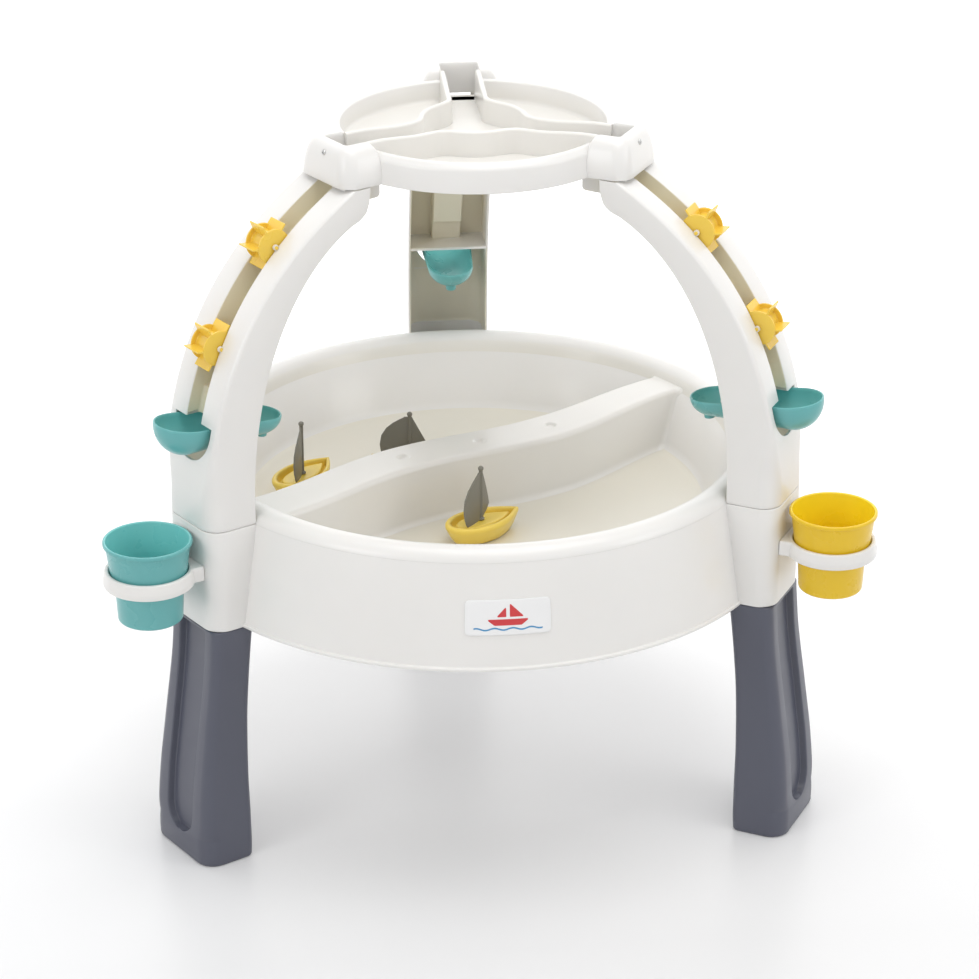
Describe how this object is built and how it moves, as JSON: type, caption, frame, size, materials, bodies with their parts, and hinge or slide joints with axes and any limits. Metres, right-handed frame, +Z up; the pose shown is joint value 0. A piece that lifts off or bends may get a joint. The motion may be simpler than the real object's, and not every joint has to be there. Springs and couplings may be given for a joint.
{
  "type": "sand and water table",
  "caption": "Round tub with an S-shaped divider on three legs, and three arches with water wheels and bowls that carry a pouring tray, with lift-out cups and toy boats.",
  "frame": {"origin": "middle of the bounding box at ground level, 34 mm behind the middle of the tub towards the rear leg", "axes": "+Z up, +X to the right when seen from the labelled front, +Y towards the rear leg"},
  "size_m": [0.8732, 0.7862, 0.817],
  "materials": {
    "shell_plastic": "pearl off-white, moulded with a soft gloss",
    "leg_plastic": "slate grey, soft gloss",
    "bowl_plastic": "muted teal, glossy",
    "cup_teal_plastic": "muted teal, glossy",
    "cup_yellow_plastic": "warm yellow, glossy",
    "wheel_plastic": "golden yellow, glossy",
    "boat_plastic": "lemon yellow, soft gloss",
    "sail_plastic": "warm grey, satin",
    "label_film": "white label with a printed pictogram",
    "steel": "zinc plated"
  },
  "bodies": {
    "frame": {"tub": "shell_plastic", "leg_left": "leg_plastic", "leg_right": "leg_plastic", "leg_rear": "leg_plastic", "arch_left": "shell_plastic", "arch_right": "shell_plastic", "arch_rear": "shell_plastic", "top_tray": "shell_plastic", "bowl_left": "bowl_plastic", "bowl_right": "bowl_plastic", "bowl_rear": "bowl_plastic", "cup_ring_left": "shell_plastic", "cup_ring_right": "shell_plastic", "axle_left_upper": "steel", "axle_left_lower": "steel", "axle_right_upper": "steel", "axle_right_lower": "steel", "axle_rear_upper": "steel", "axle_rear_lower": "steel", "label_plate": "label_film", "leg_screws": "steel", "arch_screws": "steel", "tray_screws": "steel"},
    "left_upper_wheel": {"wheel_left_upper": "wheel_plastic"},
    "left_lower_wheel": {"wheel_left_lower": "wheel_plastic"},
    "right_upper_wheel": {"wheel_right_upper": "wheel_plastic"},
    "right_lower_wheel": {"wheel_right_lower": "wheel_plastic"},
    "rear_upper_wheel": {"wheel_rear_upper": "wheel_plastic"},
    "rear_lower_wheel": {"wheel_rear_lower": "wheel_plastic"},
    "cup_left_body": {"cup_left": "cup_teal_plastic"},
    "cup_right_body": {"cup_right": "cup_yellow_plastic"},
    "front_boat": {"boat_hull_front": "boat_plastic", "boat_sail_front": "sail_plastic"},
    "middle_boat": {"boat_hull_middle": "boat_plastic", "boat_sail_middle": "sail_plastic"},
    "left_boat": {"boat_hull_left": "boat_plastic", "boat_sail_left": "sail_plastic"}
  },
  "joints": [
    {"name": "left_upper_spin", "type": "hinge", "parent": "frame", "child": "left_upper_wheel", "pos_m": [-0.24046, -0.17244, 0.71639], "axis": [0.5, -0.866, 0], "continuous": true},
    {"name": "left_lower_spin", "type": "hinge", "parent": "frame", "child": "left_lower_wheel", "pos_m": [-0.30491, -0.20964, 0.61439], "axis": [0.5, -0.866, 0], "continuous": true},
    {"name": "right_upper_spin", "type": "hinge", "parent": "frame", "child": "right_upper_wheel", "pos_m": [0.24046, -0.17244, 0.71639], "axis": [0.5, 0.866, 0], "continuous": true},
    {"name": "right_lower_spin", "type": "hinge", "parent": "frame", "child": "right_lower_wheel", "pos_m": [0.30491, -0.20964, 0.61439], "axis": [0.5, 0.866, 0], "continuous": true},
    {"name": "rear_upper_spin", "type": "hinge", "parent": "frame", "child": "rear_upper_wheel", "pos_m": [0, 0.24406, 0.71639], "axis": [-1, 0, 0], "continuous": true},
    {"name": "rear_lower_spin", "type": "hinge", "parent": "frame", "child": "rear_lower_wheel", "pos_m": [0, 0.31848, 0.61439], "axis": [-1, 0, 0], "continuous": true},
    {"name": "cup_left_lift", "type": "slide", "parent": "frame", "child": "cup_left_body", "axis": [0, 0, 1], "range_m": [0, 0.07]},
    {"name": "cup_right_lift", "type": "slide", "parent": "frame", "child": "cup_right_body", "axis": [0, 0, 1], "range_m": [0, 0.07]},
    {"name": "front_boat_lift", "type": "slide", "parent": "frame", "child": "front_boat", "axis": [0, 0, 1], "range_m": [0, 0.1]},
    {"name": "middle_boat_lift", "type": "slide", "parent": "frame", "child": "middle_boat", "axis": [0, 0, 1], "range_m": [0, 0.1]},
    {"name": "left_boat_lift", "type": "slide", "parent": "frame", "child": "left_boat", "axis": [0, 0, 1], "range_m": [0, 0.1]}
  ]
}
